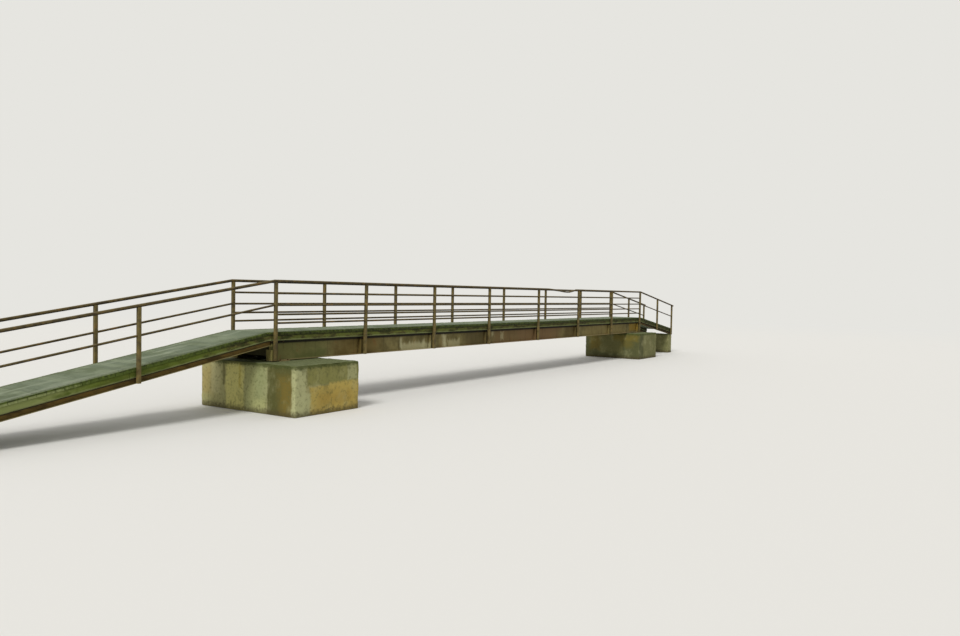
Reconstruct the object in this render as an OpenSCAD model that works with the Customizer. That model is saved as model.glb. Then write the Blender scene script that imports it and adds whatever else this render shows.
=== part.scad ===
// Footbridge: a straight, level main span on two steel girders, a ramp down at each end,
// a timber deck, and a railing of welded square posts and steel pipe.
// X runs along the bridge from the long ramp to the short one, Z is up, and -Y is the front.
// The origin is at the middle of the whole bridge's plan, on the level of its lowest footings.
// The walkway's middle line is off that middle, because the left abutment reaches further forward.

/* [Railing bays, post to post] */
// First bay of the main span, beside the long ramp
bay_1 = 2705; // [2400:5:3000]
// Second bay
bay_2 = 2670; // [2400:5:3000]
// Third bay
bay_3 = 2635; // [2400:5:3000]
// Fourth bay
bay_4 = 2890; // [2400:5:3000]
// Fifth bay, whose front top rail is dented
bay_5 = 2825; // [2400:5:3000]
// Sixth bay
bay_6 = 2810; // [2400:5:3000]
// Seventh bay, beside the short ramp
bay_7 = 2765; // [2400:5:3000]
// Girder ends past the middles of the first and last posts
girder_inset = 55; // [45:5:100]
// First post to the break between the long ramp and the level deck
left_break = 150; // [110:10:300]
// Last post to the break between the level deck and the short ramp
right_break = 250; // [110:10:300]

/* [Deck] */
// Walking surface of the main span over the lowest footings
deck_h = 1600; // [1400:10:2200]
// Width of the planks
deck_w = 1220; // [1000:10:1500]
// Thickness of the planks
plank_t = 64; // [38:1:76]
// Height of the timber nailers under the planks
nailer_h = 115; // [80:5:150]
// Width of the nailers on the girders
nailer_w = 140; // [90:5:150]
// Plank ends past the outer face of the nailers
plank_overhang = 10; // [5:1:25]

/* [Girders] */
// Depth of the rolled girders
girder_h = 406; // [350:1:460]
// Flange width of the girders
flange_w = 178; // [150:1:200]
// Flange thickness of the girders
flange_t = 13; // [9:1:18]
// Web thickness of the girders
web_t = 8; // [6:1:12]
// Radius between web and flange
root_r = 12; // [8:1:16]
// Thickness of the stiffeners and end plates
stiffener_t = 10; // [8:1:14]
// Distance between the two stiffeners that flank each post
stiffener_gap = 200; // [120:10:260]
// Height of the girders' end plates
end_plate_h = 225; // [150:5:280]
// Height of the hanger plates that carry the ramps' upper ends
hanger_h = 115; // [100:5:130]
// Depth of the channels that cross between the girders
cross_h = 250; // [180:10:300]
// Flange width of the crossing channels
cross_flange = 70; // [50:5:90]
// Wall thickness of the crossing channels
cross_t = 8; // [6:1:10]

/* [Railing] */
// Side of the square posts
post_s = 64; // [50:1:76]
// Gap between the plank ends and the posts
post_gap = 8; // [4:1:20]
// Diameter of the top rail
top_rail_d = 60; // [48:1:76]
// Height of the top rail's middle over the deck
top_rail_h = 1037; // [950:1:1100]
// Diameter of the lower rails
rail_d = 42; // [26:1:50]
// Height of the upper infill rail over the deck
upper_rail_h = 790; // [750:5:850]
// Height of the mid rail, which runs on down the ramps
mid_rail_h = 550; // [500:2:620]
// Height of the lower infill rail
lower_rail_h = 360; // [320:5:400]
// Height of the kick rail
kick_rail_h = 185; // [150:5:220]
// Depth to which the top rail is let into the posts
saddle = 8; // [4:1:12]
// Lean of the front's second post, in degrees
post_lean = 1.1; // [0:0.1:2]
// How far the front top rail is dented down in the fifth bay
dent_depth = 75; // [20:5:120]
// Place of the dent along the fifth bay
dent_place = 0.67; // [0.5:0.01:0.7]

/* [Ramps] */
// Level length of the long ramp
left_run = 6170; // [6150:10:6500]
// Fall of the long ramp's deck per unit of length
left_slope = 0.174; // [0.12:0.002:0.18]
// Fall of the long ramp's top rail per unit of length
left_top_slope = 0.1625; // [0.12:0.0025:0.18]
// Fall of the long ramp's mid rail per unit of length
left_mid_slope = 0.17; // [0.12:0.002:0.18]
// First main post to the long ramp's upper post
left_post_1 = 3050; // [2400:50:3400]
// First main post to the long ramp's lower post
left_post_2 = 6100; // [4800:50:6100]
// Level length of the short ramp
right_run = 3610; // [3600:10:4200]
// Fall of the short ramp per unit of length
right_slope = 0.15; // [0.1:0.005:0.18]
// Last main post to the short ramp's upper post
right_post_1 = 1950; // [1500:50:2200]
// Last main post to the short ramp's lower post
right_post_2 = 3700; // [2800:50:3700]
// Rail ends past the last ramp posts
rail_end = 150; // [40:10:150]
// Depth of the ramps' channel stringers
stringer_h = 100; // [80:5:150]
// Flange width of the stringers
stringer_w = 60; // [45:5:75]
// Wall thickness of the stringers
stringer_t = 8; // [6:1:10]

/* [Abutments and footings] */
// Length of an abutment along the bridge
abutment_l = 1800; // [1400:50:2200]
// Walkway's middle line to the left abutment's front face
left_abutment_front = 1650; // [1150:50:1800]
// Walkway's middle line to the right abutment's front face
right_abutment_front = 1150; // [900:50:1150]
// Walkway's middle line to both abutments' back faces
abutment_rear = 1150; // [900:50:1150]
// Left abutment past the girder ends
left_abutment_end = 345; // [200:5:500]
// Right abutment past the girder ends
right_abutment_end = 545; // [200:5:700]
// Bevel along the abutments' edges
bevel = 25; // [10:5:50]
// Thickness of the bearing plates
bearing_t = 16; // [10:1:25]
// Length of the footing under each ramp's foot
footing_l = 400; // [300:10:600]

/* [Hidden] */

rust = "#6b4a36";
girder_brown = "#4a3826";
weathered_wood = "#7d8779";
mossy_wood = "#5c6634";
concrete = "#a39a7a";

// Places along X
bays = [bay_1, bay_2, bay_3, bay_4, bay_5, bay_6, bay_7];
posts_l = bay_1 + bay_2 + bay_3 + bay_4 + bay_5 + bay_6 + bay_7;
total_l = left_run + left_break + posts_l + right_break + right_run;
left_end = -total_l / 2;
right_end = total_l / 2;
deck_x0 = left_end + left_run;
deck_x1 = right_end - right_run;
function sum_to(n) = n == 0 ? 0 : bays[n - 1] + sum_to(n - 1);
function post_x(n) = deck_x0 + left_break + sum_to(n - 1);
dented_bay = 5;
leaning_post = 2;
post_count = len(bays) + 1;
girder_x0 = post_x(1) - girder_inset;
girder_x1 = post_x(post_count) + girder_inset;
girder_l = girder_x1 - girder_x0;
left_posts_x = [post_x(1) - left_post_1, post_x(1) - left_post_2];
right_posts_x = [post_x(post_count) + right_post_1, post_x(post_count) + right_post_2];
bend_clear = 4;
bend_gap = post_s / 2 + bend_clear;
bend_x0 = post_x(1) - bend_gap;
bend_x1 = post_x(post_count) + bend_gap;

// Places along Y, from the walkway's middle line
axis_y = (left_abutment_front - abutment_rear) / 2;
post_y = deck_w / 2 + post_gap + post_s / 2;
flange_edge = post_y - post_s / 2;
web_y = flange_edge - flange_w / 2;
nailer_edge = deck_w / 2 - plank_overhang;

// Heights
plank_bottom = deck_h - plank_t;
girder_top = plank_bottom - nailer_h;
girder_bottom = girder_top - girder_h;
concrete_top = girder_bottom - bearing_t;
stringer_depth = plank_t + nailer_h + stringer_h;
post_head = top_rail_h - top_rail_d / 2 + saddle;
far = 40000;
fine = 64;

// Height of a line that falls from a start height at a start place, to the left or the right
function fall_left(x, x0, z0, slope) = z0 - slope * (x0 - x);
function fall_right(x, x0, z0, slope) = z0 - slope * (x - x0);

// Deck height at any place
function deck_z(x) =
    x < deck_x0 ? fall_left(x, deck_x0, deck_h, left_slope)
    : x > deck_x1 ? fall_right(x, deck_x1, deck_h, right_slope)
    : deck_h;

// Height of a rail that is level between the two bends and then falls with the ramps
function rail_z(x, h, slope) =
    x < bend_x0 ? fall_left(x, bend_x0, deck_h + h, slope)
    : x > bend_x1 ? fall_right(x, bend_x1, deck_h + h, right_slope)
    : deck_h + h;

// Moves what is built about the walkway's middle line to its place in the bridge's plan
module on_axis() {
    translate([0, axis_y, 0]) children();
}

// An upright outline in X and Z, extruded from y0 to y1
module upright(y0, y1) {
    translate([0, y1, 0]) rotate([90, 0, 0]) linear_extrude(y1 - y0) children();
}

// A band of even upright thickness between two places, which follows the deck at a depth below it
module band(x0, x1, depth, t, y0, y1) {
    breaks = [for (x = [deck_x0, deck_x1]) if (x > x0 && x < x1) x];
    stations = concat([x0], breaks, [x1]);
    last = len(stations) - 1;
    upright(y0, y1) polygon(concat(
        [for (x = stations) [x, deck_z(x) - depth]],
        [for (n = [last : -1 : 0]) [stations[n], deck_z(stations[n]) - depth - t]]
    ));
}

// A round bar between two points of the XZ plane
module bar(a, b, d) {
    run = b - a;
    translate([a[0], 0, a[1]])
        rotate([0, atan2(run[0], run[1]), 0])
            cylinder(h = norm(run), d = d, $fn = fine);
}

// Everything ahead of a plane through a point of the XZ plane, or behind it for a sign below 0
module half_space(at, angle, d, sign) {
    translate([at[0], 0, at[1]])
        rotate([0, angle, 0])
            translate([sign > 0 ? 0 : -far, -d, -far])
                cube([far, 2 * d, 2 * far]);
}

// Tilt of the plane that halves the bend at point n of a path; the path's ends are cut upright
function heading(a, b) = atan2(b[1] - a[1], b[0] - a[0]);
function mitre(path, n) =
    n == 0 || n == len(path) - 1 ? 0
    : -(heading(path[n - 1], path[n]) + heading(path[n], path[n + 1])) / 2;

// A pipe along a path in the XZ plane, mitred at each bend and cut upright at its ends
module bent_pipe(path, d) {
    for (n = [0 : len(path) - 2]) {
        dir = (path[n + 1] - path[n]) / norm(path[n + 1] - path[n]);
        intersection() {
            bar(path[n] - dir * d, path[n + 1] + dir * d, d);
            half_space(path[n], mitre(path, n), d, 1);
            half_space(path[n + 1], mitre(path, n + 1), d, -1);
        }
    }
}

// Concrete block with bevelled top and upright edges
module abutment(x0, y0, y1) {
    x1 = x0 + abutment_l;
    cut = bevel * sqrt(2);
    difference() {
        translate([x0, y0, 0])
            cube([abutment_l, y1 - y0, concrete_top]);
        for (x = [x0, x1])
            translate([x, (y0 + y1) / 2, concrete_top]) rotate([0, 45, 0])
                cube([cut, y1 - y0 + 2, cut], center = true);
        for (y = [y0, y1])
            translate([(x0 + x1) / 2, y, concrete_top]) rotate([45, 0, 0])
                cube([abutment_l + 2, cut, cut], center = true);
        for (x = [x0, x1], y = [y0, y1])
            translate([x, y, concrete_top / 2]) rotate([0, 0, 45])
                cube([cut, cut, concrete_top + 2], center = true);
    }
}

module left_abutment() {
    color(concrete) on_axis()
        abutment(girder_x0 - left_abutment_end, -left_abutment_front, abutment_rear);
}

module right_abutment() {
    color(concrete) on_axis()
        abutment(girder_x1 + right_abutment_end - abutment_l, -right_abutment_front, abutment_rear);
}

// Concrete under a ramp's foot, its top sloped to the stringers
module ramp_footing(x0, x1) {
    upright(-flange_edge, flange_edge) polygon([
        [x0, 0], [x1, 0], [x1, deck_z(x1) - stringer_depth], [x0, deck_z(x0) - stringer_depth]
    ]);
}

module left_ramp_footing() {
    color(concrete) on_axis() ramp_footing(left_end, left_end + footing_l);
}

module right_ramp_footing() {
    color(concrete) on_axis() ramp_footing(right_end - footing_l, right_end);
}

// Place of the stiffener before a post, or of the one after it for a face of 1
function stiffener_x(n, face) =
    n == 1 && face < 0 ? girder_x0 + stiffener_t / 2
    : n == post_count && face > 0 ? girder_x1 - stiffener_t / 2
    : post_x(n) + face * stiffener_gap / 2;

// Plate across one half of a girder, from the web to the flange edge
module half_stiffener(x, half) {
    translate([x - stiffener_t / 2, half > 0 ? 0 : -flange_w / 2, flange_t])
        cube([stiffener_t, flange_w / 2, girder_h - 2 * flange_t]);
}

// Small round corner between web and flange, along the whole girder
module root(half, z, up) {
    translate([girder_x0, half * web_t / 2, z])
        mirror([0, half > 0 ? 0 : 1, 0]) mirror([0, 0, up > 0 ? 0 : 1])
            difference() {
                cube([girder_l, root_r, root_r]);
                translate([-1, root_r, root_r]) rotate([0, 90, 0])
                    cylinder(h = girder_l + 2, r = root_r, $fn = fine);
            }
}

// Rolled girder with a stiffener at every post and a plate at each end
module girder(side) {
    translate([0, side * web_y, girder_bottom]) {
        for (z = [0, girder_h - flange_t])
            translate([girder_x0, -flange_w / 2, z])
                cube([girder_l, flange_w, flange_t]);
        translate([girder_x0, -web_t / 2, 0])
            cube([girder_l, web_t, girder_h]);
        for (half = [-1, 1]) {
            root(half, flange_t, 1);
            root(half, girder_h - flange_t, -1);
        }
        for (n = [2 : post_count - 1], face = [-1, 1], half = [-1, 1])
            half_stiffener(stiffener_x(n, face), half);
        for (half = [-1, 1]) {
            half_stiffener(stiffener_x(1, 1), half);
            half_stiffener(stiffener_x(post_count, -1), half);
        }
        for (x = [girder_x0, girder_x1 - stiffener_t])
            translate([x, -flange_w / 2, 0])
                cube([stiffener_t, flange_w, end_plate_h]);
    }
}

module front_girder() {
    color(girder_brown) on_axis() girder(-1);
}

module back_girder() {
    color(girder_brown) on_axis() girder(1);
}

// Channels bolted to the inner stiffeners, one beside each pair of posts
module cross_channels() {
    reach = web_y - web_t / 2 - root_r;
    z0 = girder_bottom + (girder_h - cross_h) / 2;
    color(girder_brown) on_axis()
        for (n = [1 : post_count])
            translate([stiffener_x(n, 1) + stiffener_t / 2, -reach, z0])
                difference() {
                    cube([cross_flange, 2 * reach, cross_h]);
                    translate([cross_t, -1, cross_t])
                        cube([cross_flange, 2 * reach + 2, cross_h - 2 * cross_t]);
                }
}

// Plates that carry the girders on the concrete
module bearing_plates() {
    plate_l = 300;
    plate_margin = 40;
    plate_w = flange_w + 2 * plate_margin;
    bearing_in = 300;
    color(girder_brown) on_axis()
        for (x = [girder_x0 + bearing_in, girder_x1 - bearing_in], side = [-1, 1])
            translate([x - plate_l / 2, side * web_y - plate_w / 2, concrete_top])
                cube([plate_l, plate_w, bearing_t]);
}

// Timber along the top of a girder or a stringer
module nailer(side, x0, x1, w) {
    y0 = side > 0 ? nailer_edge - w : -nailer_edge;
    band(x0, x1, plank_t, nailer_h, y0, y0 + w);
}

module front_nailer() {
    color(mossy_wood) on_axis() nailer(-1, girder_x0, girder_x1, nailer_w);
}

module back_nailer() {
    color(mossy_wood) on_axis() nailer(1, girder_x0, girder_x1, nailer_w);
}

module left_ramp_nailers() {
    color(mossy_wood) on_axis()
        for (side = [-1, 1])
            nailer(side, left_end, girder_x0, stringer_w);
}

module right_ramp_nailers() {
    color(mossy_wood) on_axis()
        for (side = [-1, 1])
            nailer(side, girder_x1, right_end, stringer_w);
}

module deck(x0, x1) {
    band(x0, x1, 0, plank_t, -deck_w / 2, deck_w / 2);
}

module main_deck() {
    color(weathered_wood) on_axis() deck(deck_x0, deck_x1);
}

module left_ramp_deck() {
    color(weathered_wood) on_axis() deck(left_end, deck_x0);
}

module right_ramp_deck() {
    color(weathered_wood) on_axis() deck(deck_x1, right_end);
}

// Channels under a ramp, open towards the outside
module stringers(x0, x1) {
    top = plank_t + nailer_h;
    for (side = [-1, 1]) {
        y0 = side > 0 ? flange_edge - stringer_w : -flange_edge;
        hollow_y = side > 0 ? y0 + stringer_t : y0 - stringer_t;
        difference() {
            band(x0, x1, top, stringer_h, y0, y0 + stringer_w);
            band(x0, x1, top + stringer_t, stringer_h - 2 * stringer_t, hollow_y, hollow_y + stringer_w);
        }
    }
}

module left_ramp_stringers() {
    color(rust) on_axis() stringers(left_end, girder_x0 - stiffener_t);
}

module right_ramp_stringers() {
    color(rust) on_axis() stringers(girder_x1 + stiffener_t, right_end);
}

// Plates on the girder ends, to which the ramps' stringers are bolted
module ramp_hangers() {
    color(girder_brown) on_axis()
        for (x = [girder_x0 - stiffener_t, girder_x1], side = [-1, 1])
            translate([x, side * web_y - flange_w / 2, girder_top - hanger_h])
                cube([stiffener_t, flange_w, hanger_h]);
}

// A point on a top rail's middle line at a place along the bridge
function top_rail_at(x) = [x, rail_z(x, top_rail_h, left_top_slope)];

// Bends of the dent: each one's place along the bay from the deepest, and its share of the depth
dent_bends = [[-0.45, 0], [-0.17, 0.5], [0, 1], [0.09, 0.9], [0.25, 0]];
function dent_path() = [
    for (bend = dent_bends) [
        post_x(dented_bay) + (dent_place + bend[0]) * bays[dented_bay - 1],
        deck_h + top_rail_h - bend[1] * dent_depth
    ]
];
left_upper_path = [top_rail_at(left_posts_x[1] - rail_end), top_rail_at(bend_x0)];
right_upper_path = [top_rail_at(bend_x1), top_rail_at(right_posts_x[1] + rail_end)];
back_path = concat(left_upper_path, right_upper_path);
front_path = concat(left_upper_path, dent_path(), right_upper_path);

module top_rail(side) {
    translate([0, side * post_y, 0])
        bent_pipe(side < 0 ? front_path : back_path, top_rail_d);
}

module front_top_rail() {
    color(rust) on_axis() top_rail(-1);
}

module back_top_rail() {
    color(rust) on_axis() top_rail(1);
}

// Square post from a foot height up to a head height, turned about its foot when it leans
module post_blank(side, x, foot, top, lean) {
    translate([x, side * post_y, foot]) rotate([0, lean, 0])
        translate([-post_s / 2, -post_s / 2, 0])
            cube([post_s, post_s, top - foot]);
}

function lean_of(side, n) = side < 0 && n == leaning_post ? post_lean : 0;

// Square bars of the main span's posts
module main_post_blank(side, n) {
    post_blank(side, post_x(n), girder_bottom, deck_h + post_head, lean_of(side, n));
}

// Square bars of a ramp's posts, from the stringer's underside up
module ramp_post_blanks(side, places) {
    for (x = places)
        post_blank(side, x, deck_z(x) - stringer_depth, top_rail_at(x)[1] - top_rail_h + post_head, 0);
}

// Piece of the top rail over a post, which copes the post's head
module saddle_cut(side, x) {
    translate([0, side * post_y, 0])
        bar(top_rail_at(x - post_s), top_rail_at(x + post_s), top_rail_d);
}

// The cut over a main post stays level, because the rail bends just past the post
module level_saddle_cut(side, x) {
    translate([0, side * post_y, 0])
        bar([x - post_s, deck_h + top_rail_h], [x + post_s, deck_h + top_rail_h], top_rail_d);
}

module main_post(side, n) {
    color(rust) on_axis() difference() {
        main_post_blank(side, n);
        level_saddle_cut(side, post_x(n));
    }
}

module ramp_posts(side, places) {
    color(rust) on_axis() difference() {
        ramp_post_blanks(side, places);
        for (x = places)
            saddle_cut(side, x);
    }
}

// All the posts of one side, to trim the lower rails
module all_post_blanks(side) {
    for (n = [1 : post_count])
        main_post_blank(side, n);
    ramp_post_blanks(side, left_posts_x);
    ramp_post_blanks(side, right_posts_x);
}

// Mid rail along the span and both ramps, butted between the posts
module mid_rail(side) {
    x0 = left_posts_x[1];
    x1 = right_posts_x[1];
    color(rust) on_axis() difference() {
        translate([0, side * post_y, 0])
            bent_pipe([
                [x0, rail_z(x0, mid_rail_h, left_mid_slope)],
                [bend_x0, deck_h + mid_rail_h],
                [bend_x1, deck_h + mid_rail_h],
                [x1, rail_z(x1, mid_rail_h, left_mid_slope)]
            ], rail_d);
        all_post_blanks(side);
    }
}

module front_mid_rail() {
    mid_rail(-1);
}

module back_mid_rail() {
    mid_rail(1);
}

// The main span's three other lower rails, butted between the posts
module infill_rails(side) {
    color(rust) on_axis() difference() {
        for (h = [upper_rail_h, lower_rail_h, kick_rail_h])
            translate([post_x(1), side * post_y, deck_h + h]) rotate([0, 90, 0])
                cylinder(h = posts_l, d = rail_d, $fn = fine);
        for (n = [1 : post_count])
            main_post_blank(side, n);
    }
}

module front_infill_rails() {
    infill_rails(-1);
}

module back_infill_rails() {
    infill_rails(1);
}

left_abutment();
right_abutment();
left_ramp_footing();
right_ramp_footing();
front_girder();
back_girder();
cross_channels();
bearing_plates();
front_nailer();
back_nailer();
main_deck();
left_ramp_stringers();
right_ramp_stringers();
left_ramp_nailers();
right_ramp_nailers();
ramp_hangers();
left_ramp_deck();
right_ramp_deck();
main_post(-1, 1);  // front_post_1
main_post(-1, 2);  // front_post_2
main_post(-1, 3);  // front_post_3
main_post(-1, 4);  // front_post_4
main_post(-1, 5);  // front_post_5
main_post(-1, 6);  // front_post_6
main_post(-1, 7);  // front_post_7
main_post(-1, 8);  // front_post_8
main_post(1, 1);  // back_post_1
main_post(1, 2);  // back_post_2
main_post(1, 3);  // back_post_3
main_post(1, 4);  // back_post_4
main_post(1, 5);  // back_post_5
main_post(1, 6);  // back_post_6
main_post(1, 7);  // back_post_7
main_post(1, 8);  // back_post_8
ramp_posts(-1, left_posts_x);  // left_ramp_front_posts
ramp_posts(1, left_posts_x);  // left_ramp_back_posts
ramp_posts(-1, right_posts_x);  // right_ramp_front_posts
ramp_posts(1, right_posts_x);  // right_ramp_back_posts
front_top_rail();
back_top_rail();
front_mid_rail();
back_mid_rail();
front_infill_rails();
back_infill_rails();
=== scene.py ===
import math
import random

import bmesh
import bpy
from mathutils import Matrix, Vector


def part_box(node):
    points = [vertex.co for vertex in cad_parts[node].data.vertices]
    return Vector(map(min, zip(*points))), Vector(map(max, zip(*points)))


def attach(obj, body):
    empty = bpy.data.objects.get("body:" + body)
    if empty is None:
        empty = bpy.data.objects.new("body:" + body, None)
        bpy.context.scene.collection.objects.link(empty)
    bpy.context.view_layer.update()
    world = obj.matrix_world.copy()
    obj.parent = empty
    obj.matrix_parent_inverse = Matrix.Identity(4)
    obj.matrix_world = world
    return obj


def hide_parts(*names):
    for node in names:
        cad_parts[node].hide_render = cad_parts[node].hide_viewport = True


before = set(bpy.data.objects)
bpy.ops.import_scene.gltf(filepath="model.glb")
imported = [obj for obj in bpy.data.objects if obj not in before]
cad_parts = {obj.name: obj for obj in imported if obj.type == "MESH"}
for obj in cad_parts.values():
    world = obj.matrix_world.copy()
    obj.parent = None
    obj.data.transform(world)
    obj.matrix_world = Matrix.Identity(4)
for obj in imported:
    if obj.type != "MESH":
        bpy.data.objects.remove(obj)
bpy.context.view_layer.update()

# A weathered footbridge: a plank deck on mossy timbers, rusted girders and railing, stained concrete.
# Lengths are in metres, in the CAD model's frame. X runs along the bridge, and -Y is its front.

dice = random.Random(11)

# Sizes that the CAD model also has. Rail heights are over the deck, to a pipe's middle line.

DECK_TOP = 1.6
PLANK_T = 0.064
NAILER_H = 0.115
LEFT_SLOPE = 0.174
LEFT_TOP_SLOPE = 0.1625  # of the top rail down the long ramp
LEFT_MID_SLOPE = 0.170  # of the middle rail there
RIGHT_SLOPE = 0.15
TOP_RAIL = 1.037
TOP_RAIL_R = 0.030
RAIL_R = 0.021
MID_RAIL = 0.550
INFILL_RAILS = [0.790, 0.360, 0.185]
POST_S = 0.064
RAIL_END = 0.150  # of the top rails past the last posts' middles
BEND_GAP = 0.036  # from the span's end posts to where the rails bend
GIRDER_H = 0.406
FLANGE_W = 0.178
FLANGE_T = 0.013
WEB_T = 0.008
STIFFENER_T = 0.010
STIFFENER_GAP = 0.200  # between the two that flank a post
STRINGER_H = 0.100
CROSS_T = 0.008
SADDLE = 0.022  # from a post's top to the top rail's middle line
LEAN = math.radians(1.1)  # of the front's second post

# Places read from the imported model

deck_low, deck_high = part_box("main_deck")
left_low, left_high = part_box("left_ramp_deck")
right_low, right_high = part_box("right_ramp_deck")
girder_low, girder_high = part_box("front_girder")
back_low, back_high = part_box("back_girder")
AXIS_Y = (deck_low.y + deck_high.y) / 2
DECK_HALF = (deck_high.y - deck_low.y) / 2
WEB_Y = {"front": (girder_low.y + girder_high.y) / 2, "back": (back_low.y + back_high.y) / 2}
NAILER_BOTTOM = DECK_TOP - PLANK_T - NAILER_H

# Where each ramp breaks from the span, and how much it rises along the bridge
RAMPS = {"left": (deck_low.x, LEFT_SLOPE), "right": (deck_high.x, -RIGHT_SLOPE)}


def middle(node):
    low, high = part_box(node)
    return (low + high) / 2


POST_Y = {"front": middle("front_post_1").y, "back": middle("back_post_1").y}
POST_X = [middle(f"back_post_{n}").x for n in range(1, 9)]
BEND_X0 = POST_X[0] - BEND_GAP
BEND_X1 = POST_X[-1] + BEND_GAP


def ramp_post_places(node):
    low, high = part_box(node)
    return [low.x + POST_S / 2, high.x - POST_S / 2]


LEFT_POST_X = ramp_post_places("left_ramp_front_posts")
RIGHT_POST_X = ramp_post_places("right_ramp_front_posts")
ALL_POST_X = LEFT_POST_X + POST_X + RIGHT_POST_X


# Heights along the bridge

def fallen(x, start, end, left_slope):
    """How far a line that is level from start to end has fallen at x."""
    if x < start:
        return left_slope * (start - x)
    if x > end:
        return RIGHT_SLOPE * (x - end)
    return 0.0


def deck_z(x):
    return DECK_TOP - fallen(x, deck_low.x, deck_high.x, LEFT_SLOPE)


def ramp_underside(x):
    """The bottom of the channels that carry a ramp."""
    return deck_z(x) - PLANK_T - NAILER_H - STRINGER_H


def top_rail_z(x):
    return DECK_TOP + TOP_RAIL - fallen(x, BEND_X0, BEND_X1, LEFT_TOP_SLOPE)


def mid_rail_z(x):
    return DECK_TOP + MID_RAIL - fallen(x, BEND_X0, BEND_X1, LEFT_MID_SLOPE)


# Working with pieces

def deselect():
    bpy.ops.object.select_all(action="DESELECT")


def only(piece):
    """Makes a piece the one that is selected and active."""
    deselect()
    piece.select_set(True)
    bpy.context.view_layer.objects.active = piece


def settle(name):
    """Names the primitive just added and puts its place into its mesh."""
    made = bpy.context.object
    made.name = name
    bpy.ops.object.transform_apply(location=True, rotation=True, scale=True)
    return made


def block(name, low, high):
    """A box between two corners."""
    deselect()
    bpy.ops.mesh.primitive_cube_add(size=1, location=[(a + b) / 2 for a, b in zip(low, high)])
    bpy.context.object.scale = [b - a for a, b in zip(low, high)]
    return settle(name)


def disc(name, sides, radius, height, z):
    """A short upright bar around the origin, its foot at height z."""
    deselect()
    bpy.ops.mesh.primitive_cylinder_add(
        vertices=sides, radius=radius, depth=height, location=(0, 0, z + height / 2))
    return settle(name)


def pick(piece, kind, test):
    """In edit mode, selects the verts, edges or faces that pass a test, and nothing else."""
    only(piece)
    bpy.ops.object.mode_set(mode="EDIT")
    bpy.ops.mesh.select_mode(type=kind[:-1].upper())
    bpy.ops.mesh.select_all(action="DESELECT")
    mesh = bmesh.from_edit_mesh(piece.data)
    for item in getattr(mesh, kind):
        if test(item):
            item.select_set(True)
    bmesh.update_edit_mesh(piece.data)


def leave():
    bpy.ops.object.mode_set(mode="OBJECT")


def runs_along(axis):
    """A test for edges that run along an axis."""
    def test(edge):
        run = edge.verts[1].co - edge.verts[0].co
        return abs(run[axis]) > 0.9 * run.length
    return test


def cut(piece, axis, spacing):
    """Cuts a piece across an axis, about evenly."""
    places = [v.co[axis] for v in piece.data.vertices]
    pick(piece, "edges", runs_along(axis))
    bpy.ops.mesh.subdivide(number_cuts=max(1, round((max(places) - min(places)) / spacing) - 1))
    leave()


def modify(piece, kind, **settings):
    """Adds a modifier with its settings and applies it."""
    only(piece)
    made = piece.modifiers.new(kind, kind)
    for name, value in settings.items():
        setattr(made, name, value)
    bpy.ops.object.modifier_apply(modifier=made.name)


def soften(piece, width, segments):
    """Rounds the sharp edges."""
    modify(piece, "BEVEL", width=width, segments=segments, limit_method="ANGLE",
           angle_limit=math.radians(50))


def at(x, y, z):
    """The matrix that moves a pattern from the origin to a place."""
    return Matrix.Translation((x, y, z))


def copy_of(pattern, place):
    """A copy of a pattern with its own mesh, moved by a matrix."""
    made = pattern.copy()
    made.data = pattern.data.copy()
    bpy.context.collection.objects.link(made)
    made.data.transform(place)
    return made


def joined(name, parts):
    """One object out of several."""
    deselect()
    for part in parts:
        part.select_set(True)
    bpy.context.view_layer.objects.active = parts[0]
    if len(parts) > 1:
        bpy.ops.object.join()
    parts[0].name = name
    return parts[0]


def drop(*patterns):
    for pattern in patterns:
        bpy.data.objects.remove(pattern)


def smooth(piece, degrees=35):
    only(piece)
    bpy.ops.object.shade_smooth_by_angle(angle=math.radians(degrees))


def dress(piece, slot, material, *stands_for):
    """Gives a finished piece its material, puts it under the root body, and hides the CAD nodes that it
    stands for.
    """
    piece.data.materials.clear()
    piece.data.materials.append(material)
    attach(piece, "root")
    if stands_for:
        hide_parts(*stands_for)


def finish(material, *nodes):
    """Gives CAD nodes whose shape is right their material."""
    for node in nodes:
        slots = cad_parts[node].data.materials
        slots.clear()
        slots.append(material)


def clouds(name, size, depth=3):
    """A texture for the Displace modifier, whose lumps have this size."""
    made = bpy.data.textures.new(name, "CLOUDS")
    made.noise_scale = size
    made.noise_depth = depth
    return made


# Materials

def paint(text):
    """An sRGB hex colour as the linear colour that a shader takes."""
    channels = [int(text[n:n + 2], 16) / 255 for n in (1, 3, 5)]
    return [c / 12.92 if c <= 0.04045 else ((c + 0.055) / 1.055) ** 2.4 for c in channels] + [1.0]


def per(mm):
    """The scale of a pattern whose cells measure this many millimetres."""
    return 1000.0 / mm


def add(tree, kind, inputs=None, **settings):
    """Adds a node, sets its properties, and fills or links its inputs. A hex text becomes a colour, and
    a node that is given for an input is linked from the first of its outputs that is in use."""
    made = tree.nodes.new("ShaderNode" + kind)
    for name, value in settings.items():
        setattr(made, name, value)
    for key, value in (inputs or {}).items():
        socket = made.inputs[key]
        if isinstance(key, str):
            socket = next(s for s in made.inputs if s.enabled and s.name == key)
        if isinstance(value, str):
            value = paint(value)
        if isinstance(value, bpy.types.Node):
            value = next(s for s in value.outputs if s.enabled)
        if isinstance(value, bpy.types.NodeSocket):
            tree.links.new(value, socket)
        else:
            socket.default_value = value
    return made


def new_material(name):
    """An empty material, and the object coordinates that its patterns lie on."""
    made = bpy.data.materials.new(name)
    made.use_nodes = True
    made.node_tree.nodes.clear()
    return made, made.node_tree, add(made.node_tree, "TexCoord").outputs["Object"]


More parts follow.
